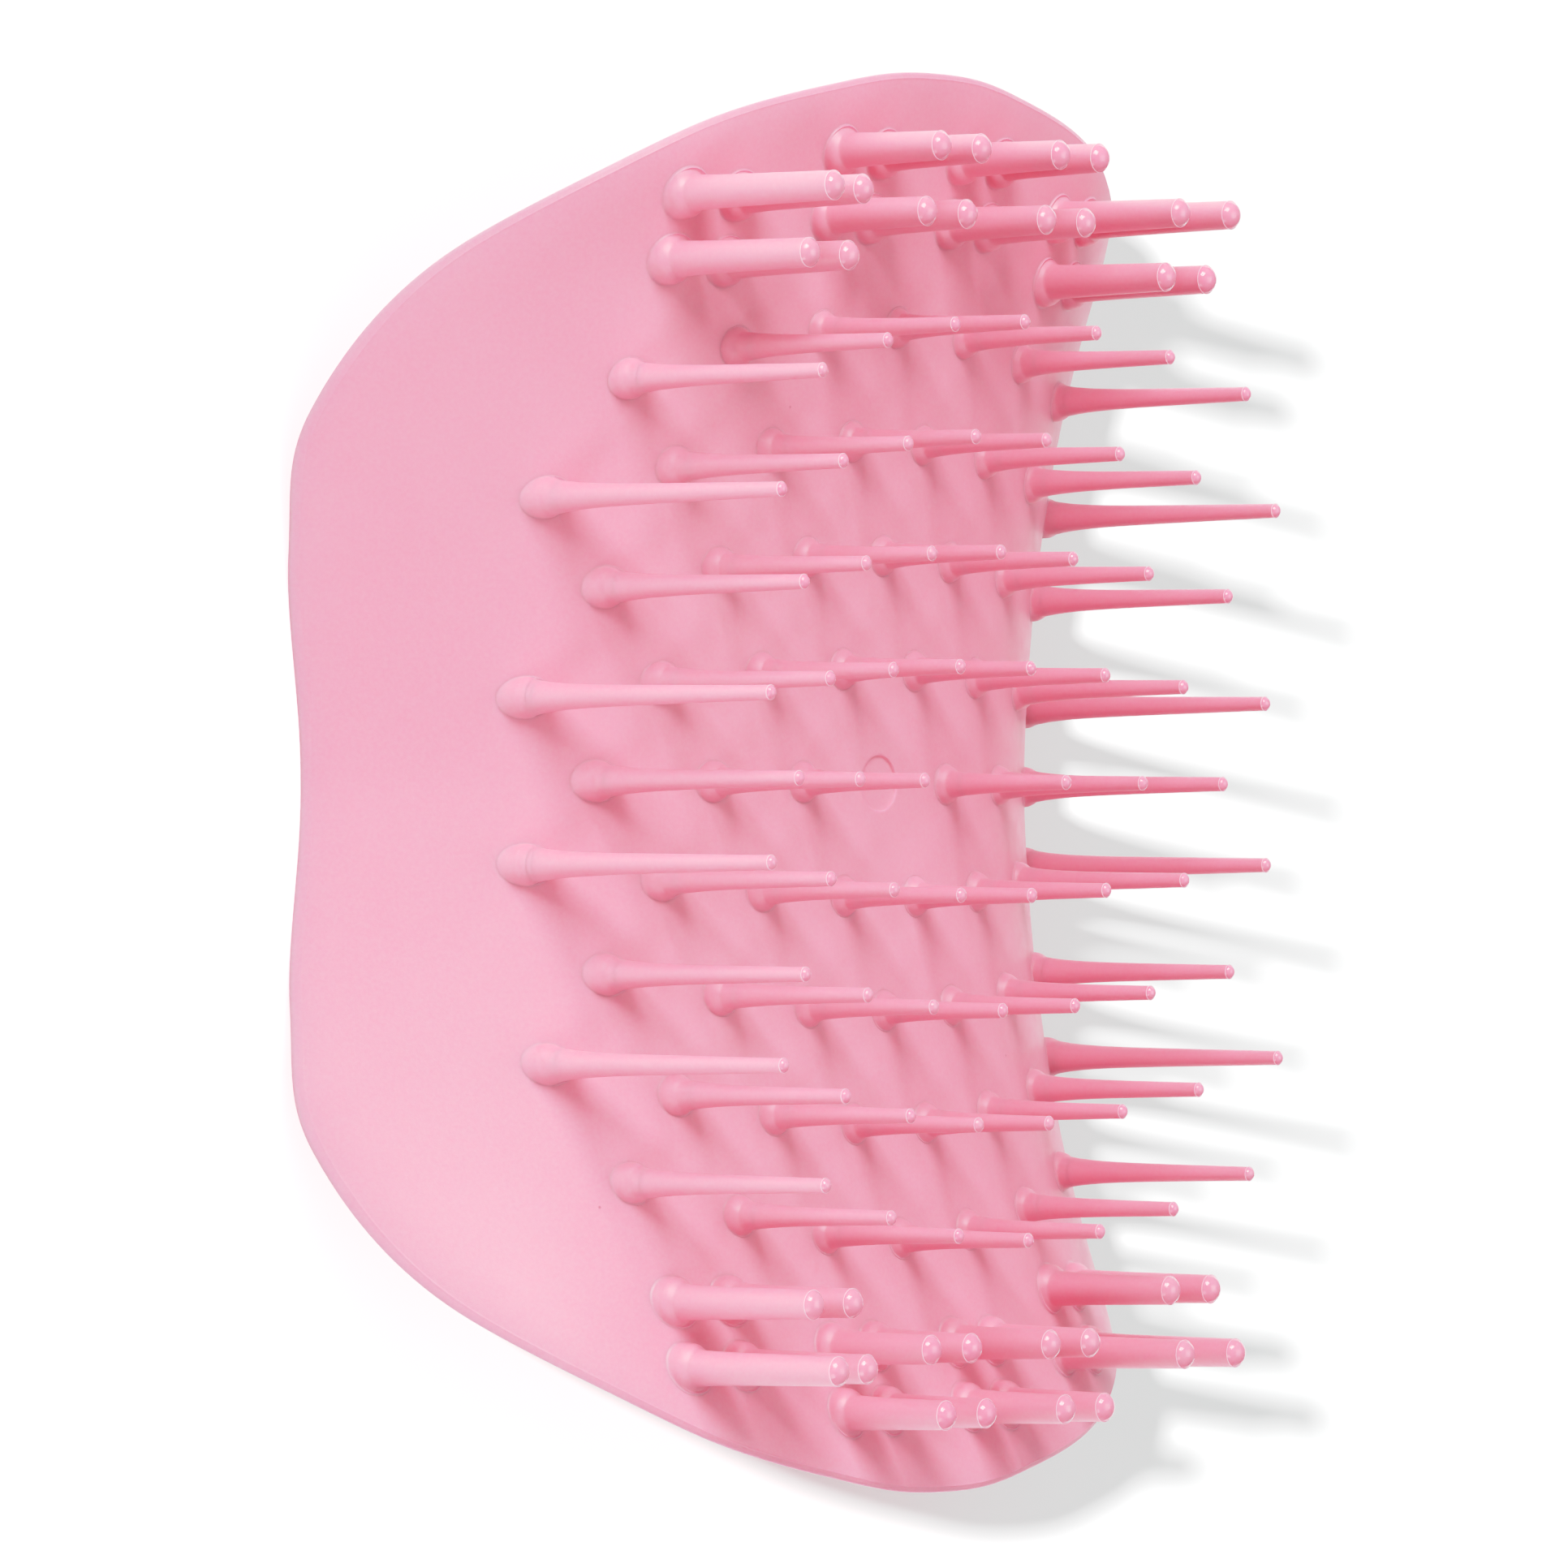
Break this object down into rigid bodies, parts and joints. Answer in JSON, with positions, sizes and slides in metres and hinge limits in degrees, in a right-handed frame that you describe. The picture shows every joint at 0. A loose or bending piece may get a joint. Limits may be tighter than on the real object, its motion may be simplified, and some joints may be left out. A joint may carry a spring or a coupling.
{
  "type": "scalp massager brush",
  "caption": "Palm-held scalp massage brush: a saddle-shaped two-shell body with plain side flanges, thin flexible teeth in bowed rows and stubby thick teeth in clusters at both ends.",
  "frame": {"origin": "centre of the footprint, on the surface that the two side rims rest on", "axes": "+Z the way the teeth point, +Y along the length, +X across the width"},
  "size_m": [0.0888, 0.109, 0.039],
  "materials": {
    "body_plastic": "satin, fine moulded texture",
    "tooth_plastic": "satin shank, glossy tip"
  },
  "bodies": {
    "body": {"tooth_plate": "body_plastic", "back_cover": "body_plastic", "locating_posts": "body_plastic", "tooth_bosses": "tooth_plastic", "head_inner_left_cluster": "tooth_plastic", "head_inner_right_cluster": "tooth_plastic", "head_outer_left_cluster": "tooth_plastic", "head_outer_right_cluster": "tooth_plastic", "heel_inner_left_cluster": "tooth_plastic", "heel_inner_right_cluster": "tooth_plastic", "heel_outer_left_cluster": "tooth_plastic", "heel_outer_right_cluster": "tooth_plastic"},
    "row1_middle_tooth": {"row1_middle_tooth": "tooth_plastic"},
    "row1_inner_pair": {"row1_inner_pair": "tooth_plastic"},
    "row1_second_pair": {"row1_second_pair": "tooth_plastic"},
    "row1_third_pair": {"row1_third_pair": "tooth_plastic"},
    "row2_inner_pair": {"row2_inner_pair": "tooth_plastic"},
    "row2_second_pair": {"row2_second_pair": "tooth_plastic"},
    "row2_third_pair": {"row2_third_pair": "tooth_plastic"},
    "row2_outer_pair": {"row2_outer_pair": "tooth_plastic"},
    "row3_middle_tooth": {"row3_middle_tooth": "tooth_plastic"},
    "row3_inner_pair": {"row3_inner_pair": "tooth_plastic"},
    "row3_second_pair": {"row3_second_pair": "tooth_plastic"},
    "row3_third_pair": {"row3_third_pair": "tooth_plastic"},
    "row4_inner_pair": {"row4_inner_pair": "tooth_plastic"},
    "row4_second_pair": {"row4_second_pair": "tooth_plastic"},
    "row4_third_pair": {"row4_third_pair": "tooth_plastic"},
    "row4_outer_pair": {"row4_outer_pair": "tooth_plastic"},
    "row5_inner_pair": {"row5_inner_pair": "tooth_plastic"},
    "row5_second_pair": {"row5_second_pair": "tooth_plastic"},
    "row5_third_pair": {"row5_third_pair": "tooth_plastic"},
    "row6_inner_pair": {"row6_inner_pair": "tooth_plastic"},
    "row6_second_pair": {"row6_second_pair": "tooth_plastic"},
    "row6_third_pair": {"row6_third_pair": "tooth_plastic"},
    "row6_outer_pair": {"row6_outer_pair": "tooth_plastic"},
    "row7_middle_tooth": {"row7_middle_tooth": "tooth_plastic"},
    "row7_inner_pair": {"row7_inner_pair": "tooth_plastic"},
    "row7_second_pair": {"row7_second_pair": "tooth_plastic"},
    "row7_third_pair": {"row7_third_pair": "tooth_plastic"},
    "row8_inner_pair": {"row8_inner_pair": "tooth_plastic"},
    "row8_second_pair": {"row8_second_pair": "tooth_plastic"},
    "row8_third_pair": {"row8_third_pair": "tooth_plastic"},
    "row8_outer_pair": {"row8_outer_pair": "tooth_plastic"},
    "row9_middle_tooth": {"row9_middle_tooth": "tooth_plastic"},
    "row9_inner_pair": {"row9_inner_pair": "tooth_plastic"},
    "row9_second_pair": {"row9_second_pair": "tooth_plastic"},
    "row9_third_pair": {"row9_third_pair": "tooth_plastic"}
  },
  "joints": [
    {"name": "row1_middle_flex", "type": "hinge", "parent": "body", "child": "row1_middle_tooth", "pos_m": [0, 0.0352, 0.02429], "axis": [1, 0, 0], "range_deg": [-12, 12], "stiffness_Nm_per_rad": 0.00899},
    {"name": "row1_inner_flex", "type": "hinge", "parent": "body", "child": "row1_inner_pair", "pos_m": [0, 0.03468, 0.02396], "axis": [1, 0, 0], "range_deg": [-12, 12], "stiffness_Nm_per_rad": 0.0173},
    {"name": "row1_second_flex", "type": "hinge", "parent": "body", "child": "row1_second_pair", "pos_m": [0, 0.03312, 0.02267], "axis": [1, 0, 0], "range_deg": [-12, 12], "stiffness_Nm_per_rad": 0.0153},
    {"name": "row1_third_flex", "type": "hinge", "parent": "body", "child": "row1_third_pair", "pos_m": [0, 0.03052, 0.01935], "axis": [1, 0, 0], "range_deg": [-12, 12], "stiffness_Nm_per_rad": 0.0119},
    {"name": "row2_inner_flex", "type": "hinge", "parent": "body", "child": "row2_inner_pair", "pos_m": [0, 0.0263, 0.02327], "axis": [1, 0, 0], "range_deg": [-12, 12], "stiffness_Nm_per_rad": 0.0185},
    {"name": "row2_second_flex", "type": "hinge", "parent": "body", "child": "row2_second_pair", "pos_m": [0, 0.0255, 0.02249], "axis": [1, 0, 0], "range_deg": [-12, 12], "stiffness_Nm_per_rad": 0.0169},
    {"name": "row2_third_flex", "type": "hinge", "parent": "body", "child": "row2_third_pair", "pos_m": [0, 0.0239, 0.02018], "axis": [1, 0, 0], "range_deg": [-12, 12], "stiffness_Nm_per_rad": 0.0137},
    {"name": "row2_outer_flex", "type": "hinge", "parent": "body", "child": "row2_outer_pair", "pos_m": [0, 0.0215, 0.0147], "axis": [1, 0, 0], "range_deg": [-12, 12], "stiffness_Nm_per_rad": 0.00975},
    {"name": "row3_middle_flex", "type": "hinge", "parent": "body", "child": "row3_middle_tooth", "pos_m": [0, 0.0176, 0.02276], "axis": [1, 0, 0], "range_deg": [-12, 12], "stiffness_Nm_per_rad": 0.00968},
    {"name": "row3_inner_flex", "type": "hinge", "parent": "body", "child": "row3_inner_pair", "pos_m": [0, 0.01728, 0.02239], "axis": [1, 0, 0], "range_deg": [-12, 12], "stiffness_Nm_per_rad": 0.0184},
    {"name": "row3_second_flex", "type": "hinge", "parent": "body", "child": "row3_second_pair", "pos_m": [0, 0.01632, 0.02085], "axis": [1, 0, 0], "range_deg": [-12, 12], "stiffness_Nm_per_rad": 0.0156},
    {"name": "row3_third_flex", "type": "hinge", "parent": "body", "child": "row3_third_pair", "pos_m": [0, 0.01472, 0.0169], "axis": [1, 0, 0], "range_deg": [-12, 12], "stiffness_Nm_per_rad": 0.0116},
    {"name": "row4_inner_flex", "type": "hinge", "parent": "body", "child": "row4_inner_pair", "pos_m": [0, 0.00875, 0.02233], "axis": [1, 0, 0], "range_deg": [-12, 12], "stiffness_Nm_per_rad": 0.0196},
    {"name": "row4_second_flex", "type": "hinge", "parent": "body", "child": "row4_second_pair", "pos_m": [0, 0.00835, 0.02142], "axis": [1, 0, 0], "range_deg": [-12, 12], "stiffness_Nm_per_rad": 0.0175},
    {"name": "row4_third_flex", "type": "hinge", "parent": "body", "child": "row4_third_pair", "pos_m": [0, 0.00755, 0.01873], "axis": [1, 0, 0], "range_deg": [-12, 12], "stiffness_Nm_per_rad": 0.0136},
    {"name": "row4_outer_flex", "type": "hinge", "parent": "body", "child": "row4_outer_pair", "pos_m": [0, 0.00635, 0.0125], "axis": [1, 0, 0], "range_deg": [-12, 12], "stiffness_Nm_per_rad": 0.0093},
    {"name": "row5_inner_flex", "type": "hinge", "parent": "body", "child": "row5_inner_pair", "pos_m": [0, 0, 0.0219], "axis": [1, 0, 0], "range_deg": [-12, 12], "stiffness_Nm_per_rad": 0.0189},
    {"name": "row5_second_flex", "type": "hinge", "parent": "body", "child": "row5_second_pair", "pos_m": [0, 0, 0.02021], "axis": [1, 0, 0], "range_deg": [-12, 12], "stiffness_Nm_per_rad": 0.0157},
    {"name": "row5_third_flex", "type": "hinge", "parent": "body", "child": "row5_third_pair", "pos_m": [0, 0, 0.01591], "axis": [1, 0, 0], "range_deg": [-12, 12], "stiffness_Nm_per_rad": 0.0113},
    {"name": "row6_inner_flex", "type": "hinge", "parent": "body", "child": "row6_inner_pair", "pos_m": [0, -0.00875, 0.02233], "axis": [1, 0, 0], "range_deg": [-12, 12], "stiffness_Nm_per_rad": 0.0196},
    {"name": "row6_second_flex", "type": "hinge", "parent": "body", "child": "row6_second_pair", "pos_m": [0, -0.00835, 0.02142], "axis": [1, 0, 0], "range_deg": [-12, 12], "stiffness_Nm_per_rad": 0.0175},
    {"name": "row6_third_flex", "type": "hinge", "parent": "body", "child": "row6_third_pair", "pos_m": [0, -0.00755, 0.01873], "axis": [1, 0, 0], "range_deg": [-12, 12], "stiffness_Nm_per_rad": 0.0136},
    {"name": "row6_outer_flex", "type": "hinge", "parent": "body", "child": "row6_outer_pair", "pos_m": [0, -0.00635, 0.0125], "axis": [1, 0, 0], "range_deg": [-12, 12], "stiffness_Nm_per_rad": 0.0093},
    {"name": "row7_middle_flex", "type": "hinge", "parent": "body", "child": "row7_middle_tooth", "pos_m": [0, -0.0176, 0.02276], "axis": [1, 0, 0], "range_deg": [-12, 12], "stiffness_Nm_per_rad": 0.00968},
    {"name": "row7_inner_flex", "type": "hinge", "parent": "body", "child": "row7_inner_pair", "pos_m": [0, -0.01728, 0.02239], "axis": [1, 0, 0], "range_deg": [-12, 12], "stiffness_Nm_per_rad": 0.0184},
    {"name": "row7_second_flex", "type": "hinge", "parent": "body", "child": "row7_second_pair", "pos_m": [0, -0.01632, 0.02085], "axis": [1, 0, 0], "range_deg": [-12, 12], "stiffness_Nm_per_rad": 0.0156},
    {"name": "row7_third_flex", "type": "hinge", "parent": "body", "child": "row7_third_pair", "pos_m": [0, -0.01472, 0.0169], "axis": [1, 0, 0], "range_deg": [-12, 12], "stiffness_Nm_per_rad": 0.0116},
    {"name": "row8_inner_flex", "type": "hinge", "parent": "body", "child": "row8_inner_pair", "pos_m": [0, -0.0263, 0.02327], "axis": [1, 0, 0], "range_deg": [-12, 12], "stiffness_Nm_per_rad": 0.0185},
    {"name": "row8_second_flex", "type": "hinge", "parent": "body", "child": "row8_second_pair", "pos_m": [0, -0.0255, 0.02249], "axis": [1, 0, 0], "range_deg": [-12, 12], "stiffness_Nm_per_rad": 0.0169},
    {"name": "row8_third_flex", "type": "hinge", "parent": "body", "child": "row8_third_pair", "pos_m": [0, -0.0239, 0.02018], "axis": [1, 0, 0], "range_deg": [-12, 12], "stiffness_Nm_per_rad": 0.0137},
    {"name": "row8_outer_flex", "type": "hinge", "parent": "body", "child": "row8_outer_pair", "pos_m": [0, -0.0215, 0.0147], "axis": [1, 0, 0], "range_deg": [-12, 12], "stiffness_Nm_per_rad": 0.00975},
    {"name": "row9_middle_flex", "type": "hinge", "parent": "body", "child": "row9_middle_tooth", "pos_m": [0, -0.0352, 0.02429], "axis": [1, 0, 0], "range_deg": [-12, 12], "stiffness_Nm_per_rad": 0.00899},
    {"name": "row9_inner_flex", "type": "hinge", "parent": "body", "child": "row9_inner_pair", "pos_m": [0, -0.03468, 0.02396], "axis": [1, 0, 0], "range_deg": [-12, 12], "stiffness_Nm_per_rad": 0.0173},
    {"name": "row9_second_flex", "type": "hinge", "parent": "body", "child": "row9_second_pair", "pos_m": [0, -0.03312, 0.02267], "axis": [1, 0, 0], "range_deg": [-12, 12], "stiffness_Nm_per_rad": 0.0153},
    {"name": "row9_third_flex", "type": "hinge", "parent": "body", "child": "row9_third_pair", "pos_m": [0, -0.03052, 0.01935], "axis": [1, 0, 0], "range_deg": [-12, 12], "stiffness_Nm_per_rad": 0.0119}
  ]
}
